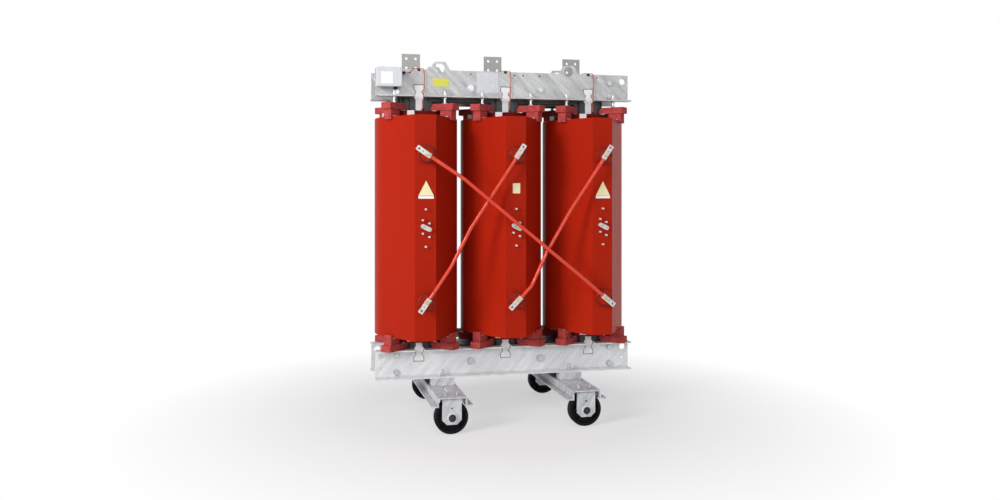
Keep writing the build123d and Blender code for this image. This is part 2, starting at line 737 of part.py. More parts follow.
tap_studs = []
tap_links = []
for x in columns.values():
    places = [(x, mid_z + single_dz), (x, mid_z - single_dz)]
    for dx, rows in tap_columns.items():
        places += [(x + dx, mid_z + dz) for dz in rows]
    linked = [(x + dx, mid_z + rows[1]) for dx, rows in tap_columns.items()]
    for px, pz in places:
        if (px, pz) in linked:
            post = rod_y(px, pz, tap_r + 3, -panel_front - tap_h, -panel_front)
            post = post + rod_y(px, pz, tap_r - 1.5, -panel_front - tap_h - link_t - 8, -panel_front - tap_h)
        else:
            post = rod_y(px, pz, tap_r, -panel_front - tap_h, -panel_front)
        tap_studs.append(post)
    (ax, az), (bx, bz) = linked
    span = sqrt((bx - ax) ** 2 + (bz - az) ** 2)
    ang = degrees(atan2(bz - az, bx - ax))
    bar = box(-span / 2, span / 2, -link_t, 0, -link_w / 2, link_w / 2)
    bar = bar + rod_y(-span / 2, 0, link_w / 2, -link_t, 0) + rod_y(span / 2, 0, link_w / 2, -link_t, 0)
    for s in (-1, 1):
        bar = bar - rod_y(s * span / 2, 0, tap_r - 1.5 + slip_gap, -link_t - 1, 1)
    tap_links.append(Pos((ax + bx) / 2, -panel_front - tap_h, (az + bz) / 2) * Rot(0, -ang, 0) * bar)
    for px, pz in linked:
        y1 = -panel_front - tap_h - link_t
        nut = hex_y(px, pz, y1 - 6, y1, 16.0)
        tap_studs.append(nut - rod_y(px, pz, tap_r - 1.5 + seat_gap, y1 - 7, y1 + 1))
save("tap_studs", tap_studs)
save("tap_links", tap_links)

# ---------------------------------------------------------------- low voltage terminals
lv_bar_w = 120.0
lv_bar_t = 10.0
lv_bar_y = 230.0
lv_bar_top = up_z1 + 147.0
lv_hole_r = 9.0
lv_hole_pitch = 60.0
lv_root_y = (lv_outer_r + lv_inner_r) / 2
post_r = 22.0


def lv_terminal(x):
    a = lv_bar_w / 2
    y0, y1 = lv_bar_y - lv_bar_t / 2, lv_bar_y + lv_bar_t / 2
    zk = lv_z1 + 26.0
    root = box(x - a / 2, x + a / 2, lv_root_y - 5, lv_root_y + 5, lv_z1, zk)
    body = root + box(x - a / 2, x + a / 2, lv_root_y - 5, y1, zk - lv_bar_t, zk)
    body = body + box(x - a, x + a, y0, y1, zk - lv_bar_t, lv_bar_top)
    for sx in (-1, 1):
        for k in (0, 1):
            z = lv_bar_top - 30 - k * lv_hole_pitch
            body = body - rod_y(x + sx * lv_hole_pitch / 2, z, lv_hole_r, y0 - 1, y1 + 1)
    return body


posts = []
for side, x in columns.items():
    save("lv_terminal_" + side, [lv_terminal(x)])
    posts.append(rod_y(x, up_z0 + 118, post_r, web_out, lv_bar_y - lv_bar_t / 2))
save("lv_support_posts", posts)

# ---------------------------------------------------------------- star point bar at the rear foot
star_y = 300.0
star_t = 10.0
star_h = 60.0
star_z1 = lv_z0 + 5.0
star_reach = 640.0
tab_w = 80.0
star_tabs = []
for x in columns.values():
    zt = lv_z0 - 18
    tab = box(x - tab_w / 2, x + tab_w / 2, lv_root_y - 5, lv_root_y + 5, zt, lv_z0)
    tab = tab + box(x - tab_w / 2, x + tab_w / 2, lv_root_y - 5, star_y, zt, zt + star_t)
    tab = tab + box(x - tab_w / 2, x + tab_w / 2, star_y - star_t, star_y, star_z1 - star_h, zt + star_t)
    star_tabs.append(tab)
star = box(-coil_pitch - 50, star_reach, star_y, star_y + star_t, star_z1 - star_h, star_z1)
for k in (0, 1):
    z = star_z1 - star_h / 2
    star = star - rod_y(star_reach - 25 - 50 * k, z, 7.0, star_y - 1, star_y + star_t + 1)
save("star_bar", [star])
save("star_tabs", star_tabs)

# ---------------------------------------------------------------- temperature sensor box, leads and clips
sbox_x0 = -818.0
sbox_x1 = -664.0
sbox_z0 = up_z0 + 56.0
sbox_h = 116.0
sbox_depth = 62.0
foot_h = 20.0                # feet hold the box clear of the bolt heads behind it
sbox_back = web_out + foot_h
lid_t = 18.0
shell_t = 3.0
gland_y = -sbox_back - 24.0
gland_z = sbox_z0 + 88.0


def sensor_box():
    y1 = -sbox_back
    y0 = y1 - (sbox_depth - lid_t)
    z1 = sbox_z0 + sbox_h
    body = box(sbox_x0, sbox_x1, y0, y1, sbox_z0, z1)
    body = fillet(body.edges().filter_by(Axis.Y), 6.0)
    t = shell_t
    body = body - box(sbox_x0 + t, sbox_x1 - t, y0 - 1, y1 - t, sbox_z0 + t, z1 - t)
    for x in (sbox_x0 + 16, sbox_x1 - 16):
        for z in (sbox_z0 + 14, z1 - 20):
            body = body + rod_y(x, z, 8.0, y1 - 1, -web_out)
    return body


def sensor_lid():
    y1 = -sbox_back - (sbox_depth - lid_t)
    y0 = y1 - lid_t
    z1 = sbox_z0 + sbox_h
    body = box(sbox_x0, sbox_x1, y0, y1, sbox_z0, z1)
    body = fillet(body.edges().filter_by(Axis.Y), 6.0)
    front = [e for e in body.edges() if e.center().Y < y0 + 0.01]
    body = chamfer(front, 2.5)
    t = shell_t
    return body - box(sbox_x0 + 12, sbox_x1 - 12, y0 + t, y1 + 1, sbox_z0 + 12, z1 - 12)


save("sensor_box", [sensor_box()])
save("sensor_box_lid", [sensor_lid()])

gland_len = 22.0
glands = []
glands.append(rod_x(gland_y, gland_z, 9.0, sbox_x1, sbox_x1 + gland_len))
glands.append(rod_z(sbox_x1 - 36, gland_y, 12.0, sbox_z0 - 14, sbox_z0))
save("sensor_glands", glands)

lead_r = 2.5
lead_bend = 7.5
clip_w = 16.0
clip_t = 3.0
plug_r = 7.0
plug_h = 14.0
lead_dx = 30.5               # the lead drops beside the tie plate, clear in the flange notch
clip_top = up_z1 + clip_t
lead_z = up_z1 + clip_t + lead_r + seat_gap
web_mid = -(web_in + web_out) / 2
clips = []
plugs = []
for side, x in columns.items():
    seat = box(x - clip_w / 2, x + clip_w / 2, -web_out - clip_t, -web_in + clip_t, up_z1 - 10, up_z1 + clip_t)
    clips.append(seat - box(x - clip_w / 2 - 1, x + clip_w / 2 + 1, -web_out, -web_in, up_z1 - 11, up_z1))
    drop_y = -web_out - lead_r - 8
    drop = [(x + 25, drop_y, lead_z), (x + lead_dx - 2, drop_y, up_z1 - 40), (x + lead_dx - 4, drop_y, up_z0 - 6)]
    end = (x + lead_dx - 13, -lv_root_y, lv_z1 + plug_h)
    end_up = (x + lead_dx - 13, -lv_root_y, lv_z1 + plug_h + 30)
    if side == "left":
        start = [(sbox_x1 + gland_len, gland_y, gland_z), (x - 62, gland_y, gland_z), (x - 36, drop_y, lead_z)]
    else:
        start = [(x - 60, -web_in + 8, up_z1 - 25), (x - 40, -web_in + 8, lead_z)]
    path = start + [(x - 20, web_mid, lead_z), (x + 16, web_mid, lead_z)] + drop + [end_up, end]
    save("sensor_lead_" + side, [round_run([Vector(*p) for p in path], lead_r, lead_bend)])
    plugs.append(rod_z(end[0], end[1], plug_r, lv_z1, lv_z1 + plug_h))
save("lead_clips", clips)
save("sensor_plugs", plugs)
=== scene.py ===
# %% [markdown]
# # Dressing a cast resin transformer
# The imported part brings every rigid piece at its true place: frames, windings, bars and wheels.
# This lesson gives each of them a finish and adds the small pieces that only matter to the eye.
# The frame is loaded first, because every later position is measured from it.

# %% Load the frame
import json
import math
import bpy
import numpy as np
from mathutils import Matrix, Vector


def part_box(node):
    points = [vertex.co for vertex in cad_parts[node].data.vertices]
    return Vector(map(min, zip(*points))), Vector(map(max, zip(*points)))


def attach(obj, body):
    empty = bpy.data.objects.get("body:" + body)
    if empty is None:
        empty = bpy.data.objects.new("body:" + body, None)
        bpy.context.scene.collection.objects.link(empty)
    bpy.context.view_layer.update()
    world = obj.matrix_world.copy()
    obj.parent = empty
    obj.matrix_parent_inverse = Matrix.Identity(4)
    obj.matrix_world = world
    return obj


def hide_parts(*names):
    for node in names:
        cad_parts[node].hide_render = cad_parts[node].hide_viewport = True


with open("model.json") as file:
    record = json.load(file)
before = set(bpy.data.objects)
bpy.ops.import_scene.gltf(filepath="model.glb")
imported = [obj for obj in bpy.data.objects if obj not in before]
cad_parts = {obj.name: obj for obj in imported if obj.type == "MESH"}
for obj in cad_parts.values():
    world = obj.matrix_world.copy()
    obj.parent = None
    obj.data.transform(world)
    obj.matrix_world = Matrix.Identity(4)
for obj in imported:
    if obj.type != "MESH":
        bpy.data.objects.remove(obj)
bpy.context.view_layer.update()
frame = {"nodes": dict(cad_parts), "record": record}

nodes = frame["nodes"]
print("pieces in the frame:", len(nodes))

# %% [markdown]
# ## Places
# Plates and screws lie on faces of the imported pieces. Reading those faces from the frame keeps
# the dressing in place when a size changes. The alternative, typing positions, would drift.

# %% Measure the faces that carry small pieces
def corner(node, end):
    """Lowest (end 0) or highest (end 1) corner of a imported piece, in metres."""
    return np.array(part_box(node)[end])


coil_x = {side: float(corner("lv_coil_" + side, 0)[0] + corner("lv_coil_" + side, 1)[0]) / 2
          for side in ("left", "centre", "right")}
mid_z = float(corner("tap_links", 0)[2] + corner("tap_links", 1)[2]) / 2
panel_y = float(corner("tap_studs", 1)[1])
upper_low, upper_high = corner("upper_clamp_front", 0), corner("upper_clamp_front", 1)
plate_thickness = 0.008
web_y = float(upper_high[1]) - plate_thickness
lid_low, lid_high = corner("sensor_box_lid", 0), corner("sensor_box_lid", 1)
print("columns at", {k: round(v, 3) for k, v in coil_x.items()}, "panel at", round(panel_y, 3))
print("upper web face at", round(web_y, 3), "winding middle at", round(mid_z, 3))

# %% [markdown]
# ## Shader maths as plain expressions
# A finish is easier to read as `grain * 0.3 + 0.5` than as a web of Math nodes. One small class
# wraps a socket, and each operator adds the node it stands for. Every other node comes from one
# method that takes the type, its settings and its sockets.

# %% A socket with operators
class Wire:
    """A value socket that can be used in expressions; each operator adds one Math node."""

    def __init__(self, shop, socket):
        self.shop = shop
        self.socket = socket

    def _math(self, operation, *values, clamp=False):
        return self.shop.node("ShaderNodeMath", {"operation": operation, "use_clamp": clamp},
                              dict(enumerate(values)))

    def __add__(self, other):
        return self._math("ADD", self, other)

    def __radd__(self, other):
        return self._math("ADD", other, self)

    def __sub__(self, other):
        return self._math("SUBTRACT", self, other)

    def __rsub__(self, other):
        return self._math("SUBTRACT", other, self)

    def __mul__(self, other):
        return self._math("MULTIPLY", self, other)

    def clamp(self):
        """The value held between 0 and 1."""
        return self._math("ADD", self, 0.0, clamp=True)

    def ramp(self, low, high):
        """0 below low, 1 above high, straight in between."""
        return self.shop.node("ShaderNodeMapRange", {"clamp": True},
                              {"Value": self, "From Min": low, "From Max": high})


class Shop:
    """Builds one material: its node tree, and the Principled shader at its end."""

    def __init__(self, name, roughness=0.5, metallic=0.0, **fixed):
        self.material = bpy.data.materials.new(name)
        self.material.use_nodes = True
        self.tree = self.material.node_tree
        self.tree.nodes.clear()
        self.out = self.tree.nodes.new("ShaderNodeOutputMaterial")
        self.shader = self.tree.nodes.new("ShaderNodeBsdfPrincipled")
        self.tree.links.new(self.shader.outputs[0], self.out.inputs["Surface"])
        self.shader.inputs["Roughness"].default_value = roughness
        self.shader.inputs["Metallic"].default_value = metallic
        for socket, value in fixed.items():
            self.shader.inputs[socket.replace("_", " ")].default_value = value

    def plug(self, socket, value):
        """Link a wire to a socket, or set a plain value on it."""
        if isinstance(value, Wire):
            self.tree.links.new(value.socket, socket)
        else:
            plain = socket.default_value
            if hasattr(plain, "__len__") and len(plain) == 4 and len(value) == 3:
                value = (*value, 1.0)
            socket.default_value = value

    def node(self, kind, settings=None, sockets=None, out=0):
        """Add one node: settings first, then socket values or links; returns an output."""
        made = self.tree.nodes.new(kind)
        for key, value in (settings or {}).items():
            if key == "stops":
                ramp = made.color_ramp
                while len(ramp.elements) < len(value):
                    ramp.elements.new(0.5)
                for element, (place, colour) in zip(ramp.elements, value):
                    element.position = place
                    element.color = (*colour, 1.0)
            else:
                setattr(made, key, value)
        for key, value in (sockets or {}).items():
            self.plug(made.inputs[key], value)
        return Wire(self, made.outputs[out])

    def place(self, scale=(1, 1, 1), turn=(0, 0, 0)):
        """Object coordinates, stretched and turned."""
        where = self.node("ShaderNodeTexCoord", out=3)
        return self.node("ShaderNodeMapping", {},
                         {"Vector": where, "Scale": scale, "Rotation": turn})

    def slant(self, degrees, across, along):
        """Object coordinates turned in the upright plane, then squeezed: across is lumps over the
        grain and along is lumps with it."""
        x, y, z = self.split(self.place())
        c, s = math.cos(math.radians(degrees)), math.sin(math.radians(degrees))
        return self.node("ShaderNodeCombineXYZ", {}, {0: (x * c - z * s) * across, 1: y * across,
                                                      2: (x * s + z * c) * along})

    def noise(self, scale, detail=3.0, where=None, rough=0.5):
        """Cloudy noise from 0 to 1; scale is in lumps per metre."""
        where = where or self.place()
        return self.node("ShaderNodeTexNoise", {},
                         {"Vector": where, "Scale": scale, "Detail": detail, "Roughness": rough})

    def split(self, vector):
        """The three parts of a vector."""
        made = self.tree.nodes.new("ShaderNodeSeparateXYZ")
        self.tree.links.new(vector.socket, made.inputs[0])
        return [Wire(self, made.outputs[i]) for i in range(3)]

    def blend(self, amount, first, second, mode="MIX"):
        """Mix two colours by an amount from 0 to 1."""
        made = self.tree.nodes.new("ShaderNodeMix")
        made.data_type = "RGBA"
        made.blend_type = mode
        self.plug(made.inputs[0], amount)
        self.plug(made.inputs[6], first)
        self.plug(made.inputs[7], second)
        return Wire(self, made.outputs[2])

    def painted_corner_shade(self, reach):
        """Painted shade mask: 1 in corners and joints narrower than reach (metres), 0 on open faces,
        read from an ambient occlusion node.
        """
        open_sky = self.node("ShaderNodeAmbientOcclusion", {"samples": 8}, {"Distance": reach}, out=1)
        return 1.0 - open_sky.ramp(0.15, 0.80)

    def bump(self, height, strength, distance):
        """A normal from a height; distance is in metres."""
        return self.node("ShaderNodeBump", {},
                         {"Height": height, "Strength": strength, "Distance": distance})

    def wear(self, **sockets):
        """Feed the shader's own sockets and hand back the material."""
        for name, value in sockets.items():
            self.plug(self.shader.inputs[name.replace("_", " ")], value)
        return self.material


print("shader helper ready")

# %% [markdown]
# ## Hot-dip galvanised plate
# The clamp frames, carriers and brackets are zinc-dipped steel. Their look is a pale grey with
# soft diagonal streaks from draining zinc and a faint crystal pattern. A stretched noise gives
# the streaks, and a cell texture gives the crystals, both in Object coordinates so that they
# stay put on the metal. Narrow joints and inner corners are darkened by painted shade.

# %% Galvanised steel
def zinc_finish(name, pale, deep, metal, tilt=-48.0, warm=1.2):
    shop = Shop(name, roughness=0.48, metallic=metal)
    streak = shop.noise(1.0, 4.0, shop.slant(tilt, 34.0, 4.0))
    fine = shop.noise(1.0, 4.0, shop.slant(tilt, 170.0, 12.0), rough=0.65)
    crystal = shop.node("ShaderNodeTexVoronoi", {}, {"Vector": shop.place(), "Scale": 95.0,
                                                     "Randomness": 1.0}, out=1)
    crystal_grey = shop.node("ShaderNodeRGBToBW", {}, {0: crystal})
    tone = (streak.ramp(0.30, 0.68) * 0.45 + fine.ramp(0.30, 0.70) * 0.37
            + crystal_grey * 0.18).clamp()
    colour = shop.blend(tone, deep, pale)
    patch = shop.noise(3.0, 2.0)
    colour = shop.blend((patch - 0.52).clamp() * warm, colour, (0.62, 0.57, 0.52), "MULTIPLY")
    # Painted shade: joints and inner corners are darkened towards near black.
    colour = shop.blend(shop.painted_corner_shade(0.014) * 0.85, colour, (0.075, 0.078, 0.085))
    rough = 0.34 + streak * 0.24 + crystal_grey * 0.08
    height = fine * 0.5 + crystal_grey * 0.25
    return shop.wear(Base_Color=colour, Roughness=rough, Normal=shop.bump(height, 0.3, 0.0007))


zinc = zinc_finish("zinc_steel", (0.76, 0.765, 0.77), (0.28, 0.282, 0.286), 0.25)
zinc_low = zinc_finish("zinc_steel_low", (0.91, 0.925, 0.94), (0.60, 0.613, 0.63), 0.12,
                       tilt=42.0, warm=0.2)
zinc_base = zinc_finish("zinc_steel_base", (0.86, 0.88, 0.91), (0.33, 0.34, 0.36), 0.22,
                        tilt=30.0, warm=0.2)
zinc_tie = zinc_finish("zinc_tie_plates", (1.0, 1.0, 1.0), (0.80, 0.82, 0.85), 0.05,
                       tilt=0.0, warm=0.0)
print("zinc finish:", zinc.name)

# %% [markdown]
# ## Plated bolts and tinned copper
# Bolts are brighter than the plates they hold, because they are machined before plating. Tinned
# lugs and terminal studs are nearly white and smoother. Both are metals with a fine turned grain.

# %% Bright metals
def bright_metal(name, colour, rough, grain=120.0, metal=0.8):
    shop = Shop(name, roughness=rough, metallic=metal)
    cloud = shop.noise(40.0, 3.0)
    fine = shop.noise(grain, 4.0, shop.place((1.0, 6.0, 1.0)))
    dark = tuple(0.50 * c for c in colour)
    tint = shop.blend((cloud * 0.8 + fine * 0.3 - 0.2).clamp(), dark, colour)
    # Painted shade: corners and joints are darkened towards near black.
    tint = shop.blend(shop.painted_corner_shade(0.010) * 0.85, tint, (0.06, 0.06, 0.065))
    return shop.wear(Base_Color=tint, Roughness=rough + cloud * 0.22 - 0.08,
                     Normal=shop.bump(fine, 0.15, 0.0003))


plated = bright_metal("plated_bolts", (0.80, 0.825, 0.86), 0.30, metal=0.75)
tinned = bright_metal("tinned_metal", (1.0, 1.0, 0.99), 0.28, metal=0.12)
passivated = bright_metal("terminal_yellow", (1.0, 0.90, 0.48), 0.30, metal=0.4)


def axle_finish(name, track_x, axle_z):
    """Plated steel with a painted dark centre: painted shade of a centre drilling, laid where the
    distance from the wheel axis, measured in X and Z from the nearest wheel, is small."""
    shop = Shop(name, roughness=0.35, metallic=0.4)
    x, y, z = shop.split(shop.place())
    side = shop.node("ShaderNodeMath", {"operation": "ABSOLUTE"}, {0: x}) - track_x
    high = z - axle_z
    far = shop.node("ShaderNodeMath", {"operation": "SQRT"}, {0: side * side + high * high})
    ring = far.ramp(0.0215, 0.0235)
    cloud = shop.noise(60.0, 3.0)
    specks = shop.noise(150.0, 2.0).ramp(0.52, 0.66)
    # Painted shade: near black with grey specks stands for the shade inside the centre drilling.
    painted_hole_shade = shop.blend(specks, (0.010, 0.010, 0.012), (0.16, 0.17, 0.19))
    colour = shop.blend(ring, painted_hole_shade, (0.80, 0.82, 0.85))
    colour = shop.blend(cloud * 0.4, colour, (0.5, 0.5, 0.5), "MULTIPLY")
    return shop.wear(Base_Color=colour, Roughness=0.3 + cloud * 0.25,
                     Normal=shop.bump(ring * 1.0 + cloud * 0.1, 0.6, 0.0020))


wheel_low, wheel_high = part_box("wheel_front_right")
track_x = (wheel_low[0] + wheel_high[0]) / 2
axle_steel = axle_finish("axle_steel", track_x, (wheel_low[2] + wheel_high[2]) / 2)
print("bright metals:", plated.name, tinned.name, "track half width", round(track_x, 3))

# %% [markdown]
# ## Mill-finished aluminium
# The low voltage plates are rolled aluminium bar: matt, a little warm, with fine lines along the
# rolling direction, which is upright here, and duller blotches where hands touched it.

# %% Rolled aluminium
def rolled_aluminium(name):
    shop = Shop(name, roughness=0.45, metallic=0.55)
    lines = shop.noise(160.0, 3.0, shop.place((1.0, 1.0, 0.02)))
    blotch = shop.noise(14.0, 4.0)
    tone = (lines * 0.5 + blotch * 0.8 - 0.15).clamp()
    colour = shop.blend(tone, (0.26, 0.256, 0.248), (0.42, 0.413, 0.40))
    return shop.wear(Base_Color=colour, Roughness=0.36 + blotch * 0.25,
                     Normal=shop.bump(lines, 0.2, 0.0004))


aluminium = rolled_aluminium("aluminium_bar")
print("aluminium:", aluminium.name)

# %% [markdown]
# ## Cast resin
# The windings are cast in red epoxy. The mould leaves a smooth satin skin with very broad waves
# and faint upright drag lines. The skin is rather rough and has little shine, so the large faces
# shade softly. The last argument is a clear coat, which only the glossy boss edges have.

# %% Cast resin
def cast_resin(name, bright, dull, rough, coat):
    shop = Shop(name, roughness=rough, Coat_Weight=coat, Coat_Roughness=0.16,
                Specular_IOR_Level=0.04)
    broad = shop.noise(2.2, 3.0, shop.place((1.0, 1.0, 0.35)))
    drag = shop.noise(26.0, 3.0, shop.place((1.0, 1.0, 0.05)))
    dust = shop.noise(220.0, 2.0)
    tone = (broad * 1.1 + drag * 0.12 - 0.15).clamp()
    colour = shop.blend(tone, dull, bright)
    colour = shop.blend((dust - 0.55).clamp() * 0.25, colour, (0.75, 0.30, 0.24))
    height = broad * 0.8 + drag * 0.03 + dust * 0.015
    return shop.wear(Base_Color=colour, Roughness=rough + drag * 0.16 - 0.08,
                     Normal=shop.bump(height, 0.35, 0.0020))


resin_outer = cast_resin("cast_resin_outer", (0.475, 0.0205, 0.0055), (0.385, 0.0150, 0.0040),
                         0.36, 0.0)
resin_inner = cast_resin("cast_resin_inner", (0.22, 0.013, 0.008), (0.13, 0.008, 0.006), 0.40, 0.0)
print("resins:", resin_outer.name, resin_inner.name)

# %% [markdown]
# ## Moulded support blocks
# The blocks that carry the windings are pressed from filled resin. They are paler and rough like
# fine concrete, with small pits. Two noises at different scales give the mottling and the pits.

# %% Rough moulded blocks
def moulded_block(name):
    shop = Shop(name, roughness=0.72, Specular_IOR_Level=0.2)
    mottle = shop.noise(45.0, 4.0)
    grit = shop.noise(420.0, 3.0)
    colour = shop.blend((mottle * 1.4 - 0.2).clamp(), (0.27, 0.025, 0.024), (0.60, 0.085, 0.081))
    colour = shop.blend((grit - 0.5).clamp() * 0.8, colour, (0.70, 0.24, 0.22))
    height = mottle * 0.6 + grit * 0.4
    return shop.wear(Base_Color=colour, Roughness=0.62 + grit * 0.25,
                     Normal=shop.bump(height, 0.5, 0.0015))


block = moulded_block("block_resin")
print("block finish:", block.name)

# %% [markdown]
# ## Plain mouldings: pads, spacers, boxes and black parts
# These are simple plastics and rubbers. Each still has a soft mottling and a fine skin, so that a
# close look finds a surface and not a flat colour.

# %% Plain mouldings
def moulding(name, colour, rough, skin=300.0, spread=0.12, coat=0.0, height=0.0005, shine=0.4):
    shop = Shop(name, roughness=rough, Coat_Weight=coat, Specular_IOR_Level=shine)
    cloud = shop.noise(18.0, 4.0)
    fine = shop.noise(skin, 2.0)
    low = tuple(c * (1.0 - spread) for c in colour)
    high = tuple(min(1.0, c * (1.0 + spread)) for c in colour)
    tint = shop.blend(cloud * 0.8 + fine * 0.2, low, high)
    return shop.wear(Base_Color=tint, Roughness=rough + cloud * 0.15 - 0.07,
                     Normal=shop.bump(fine, 0.3, height))


pad = moulding("pad_rubber", (0.66, 0.65, 0.62), 0.6)
spacer = moulding("white_spacer", (0.80, 0.76, 0.78), 0.5)
box_grey = moulding("box_grey", (0.66, 0.69, 0.73), 0.42, coat=0.15, spread=0.05)
black = moulding("black_plastic", (0.012, 0.012, 0.013), 0.45, spread=0.3, shine=0.15)
wheel_black = moulding("wheel_black", (0.008, 0.008, 0.009), 0.6, skin=160.0, spread=0.4,
                       height=0.0012, shine=0.10)
sleeve = moulding("bar_sleeve", (0.74, 0.040, 0.010), 0.17, skin=45.0, spread=0.16, coat=0.60,
                  height=0.0035, shine=0.22)
lead = moulding("lead_sleeve", (0.56, 0.12, 0.07), 0.5, skin=500.0, spread=0.35)
print("plain mouldings ready")

# %% [markdown]
# ## Core steel
# The core is a stack of thin sheets, seen edge-on between the windings. The sheet edges run along
# X and Z and repeat along Y, so a wave along Y draws them. The varnish over them is nearly black.

# %% Laminated core
def core_steel(name):
    shop = Shop(name, roughness=0.45, metallic=0.4)
    x, y, z = shop.split(shop.place())
    wobble = shop.noise(30.0, 2.0) * 0.004
    sheet = shop.node("ShaderNodeMath", {"operation": "SINE"}, {0: (y + wobble) * 900.0})
    coarse = shop.noise(1.0, 3.0, shop.place((4.0, 70.0, 4.0)))
    tone = (sheet * 0.18 + coarse * 0.9 - 0.1).clamp()
    colour = shop.blend(tone, (0.018, 0.019, 0.022), (0.115, 0.117, 0.125))
    return shop.wear(Base_Color=colour, Roughness=0.38 + coarse * 0.25,
                     Normal=shop.bump(sheet * 0.5 + coarse, 0.4, 0.0008))


core = core_steel("core_steel")
print("core finish:", core.name)

# %% [markdown]
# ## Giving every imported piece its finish
# The record names a slot for each node. A dictionary from slot to material paints them all in one
# loop. A few nodes of the same slot look different on the real unit, such as the paler tie plates
# and the streakier carriers, so a second dictionary repaints those by name.

# %% Paint the frame pieces
finishes = {
    "core_steel": core, "zinc_steel": zinc, "plated_bolts": plated, "cast_resin_outer": resin_outer,
    "cast_resin_inner": resin_inner, "block_resin": block, "pad_rubber": pad, "white_spacer": spacer,
    "wheel_black": wheel_black, "bar_sleeve": sleeve, "tinned_metal": tinned,
    "aluminium_bar": aluminium, "box_grey": box_grey, "black_plastic": black, "lead_sleeve": lead,
}
slot_of = {row["node"]: row["material_slot"] for row in frame["record"]["subparts"]}
for name, piece in nodes.items():
    finish = finishes[slot_of[name]]
    piece.data.materials.clear()
    piece.data.materials.append(finish)
special = {"tie_plates": zinc_tie, "axle_bolts": axle_steel, "hv_terminals": passivated,
           "lower_clamp_front": zinc_low, "lower_clamp_rear": zinc_low, "carrier_spacers": zinc_base}
special.update({name: zinc_base for name in nodes
                if name.startswith(("wheel_carrier", "wheel_bracket"))})
for name, finish in special.items():
    nodes[name].data.materials[0] = finish
print("painted", len(nodes), "pieces with", len(set(slot_of.values())), "finishes")

# %% [markdown]
# ## New pieces as numpy surfaces
# Small plates and screws are surfaces of two parameters. One helper turns arrays of points and
# faces into a mesh, rides it on the root body and names its slot.

# %% A mesh from arrays
def make_piece(name, points, faces, material, smooth=False):
    """Put arrays into a mesh object at the origin and ride it on the root body."""
    mesh = bpy.data.meshes.new(name)
    mesh.from_pydata(np.asarray(points, float).tolist(), [],
                     [tuple(int(i) for i in f) for f in faces])
    mesh.validate()
    mesh.materials.append(material)
    mesh.polygons.foreach_set("use_smooth", np.full(len(mesh.polygons), smooth))
    made = bpy.data.objects.new(name, mesh)
    bpy.context.scene.collection.objects.link(made)
    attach(made, "root")
    return made


def plate_shape(outline, y_back, thick, edge):
    """A flat plate in X and Z: the outline at the back, the outline again near the front, and the
    outline drawn in by the edge width on the front face, closed by two end caps."""
    ring = np.asarray(outline, float)
    middle = ring.mean(axis=0)
    spread = ring - middle
    inner = middle + spread * (1.0 - edge / np.abs(spread).max())
    rows = [(ring, y_back), (ring, y_back - thick + edge), (inner, y_back - thick)]
    points = np.vstack([np.column_stack([r[:, 0], np.full(len(r), y), r[:, 1]]) for r, y in rows])
    n = len(ring)
    k = np.arange(n)
    after = (k + 1) % n
    sides = [np.column_stack([a * n + k, a * n + after, (a + 1) * n + after, (a + 1) * n + k])
             for a in range(2)]
    faces = [tuple(f) for f in np.vstack(sides)]
    faces.append(tuple(k[::-1]))
    faces.append(tuple(2 * n + k))
    return points, faces


def rounded_rectangle(x0, x1, z0, z1, radius, steps=5):
    """Corner points on four quarter circles, going round once."""
    turn = np.linspace(0.0, np.pi / 2, steps)
    out = []
    for i, (cx, cz) in enumerate(((x1 - radius, z1 - radius), (x0 + radius, z1 - radius),
                                  (x0 + radius, z0 + radius), (x1 - radius, z0 + radius))):
        a = turn + i * np.pi / 2
        out.append(np.column_stack([cx + radius * np.cos(a), cz + radius * np.sin(a)]))
    return np.vstack(out)


def dome(x, y, z, radius, height, around=24, rings=6):
    """A low dome facing the front: radius times cos(t) across, height times sin(t) forward."""
    t = np.linspace(0.0, np.pi / 2, rings)
    a = np.linspace(0.0, 2 * np.pi, around, endpoint=False)
    tt, aa = np.meshgrid(t, a, indexing="ij")
    points = np.stack([x + radius * np.cos(tt) * np.cos(aa), y - height * np.sin(tt),
                       z + radius * np.cos(tt) * np.sin(aa)], axis=-1).reshape(-1, 3)
    i, j = np.meshgrid(np.arange(rings - 1), np.arange(around), indexing="ij")
    jn = (j + 1) % around
    faces = np.stack([i * around + j, i * around + jn, (i + 1) * around + jn,
                      (i + 1) * around + j], axis=-1)
    faces = [tuple(f) for f in faces.reshape(-1, 4)]
    faces.append(tuple(range(around - 1, -1, -1)))
    return points, faces


print("mesh helpers ready")

# %% [markdown]
# ## Sensor leads
# Three thin leads come over the edge of the frame and drop into the inner windings. A lead can't
# bend sharply, so its line is a NURBS curve: the route's points only steer it, and it cuts inside
# each corner. An order of 3 has to be set after the points are there, or it stays at 2.

# %% Smooth leads
lead_radius = 0.0025
frame_top = float(corner("lead_clips", 1)[2]) - 0.003
over_clip = frame_top + 0.0058
web_middle = web_y + 0.004
drop_y = web_y - 0.0105
plug_low, plug_high = corner("sensor_plugs", 0), corner("sensor_plugs", 1)
plug_y = float(plug_low[1] + plug_high[1]) / 2
plug_top = float(plug_high[2])
gland_end = (-0.642, -0.169, 2.139)


def lead_route(x, start):
    """Steering points: the start, over the clip, down beside the tie plate, into the plug."""
    return start + [(x - 0.020, web_middle, over_clip), (x + 0.014, web_middle, over_clip),
                    (x + 0.029, drop_y, over_clip), (x + 0.036, drop_y, frame_top - 0.060),
                    (x + 0.0265, drop_y, frame_top - 0.179), (x + 0.0175, plug_y, plug_top + 0.030),
                    (x + 0.0175, plug_y, plug_top)]


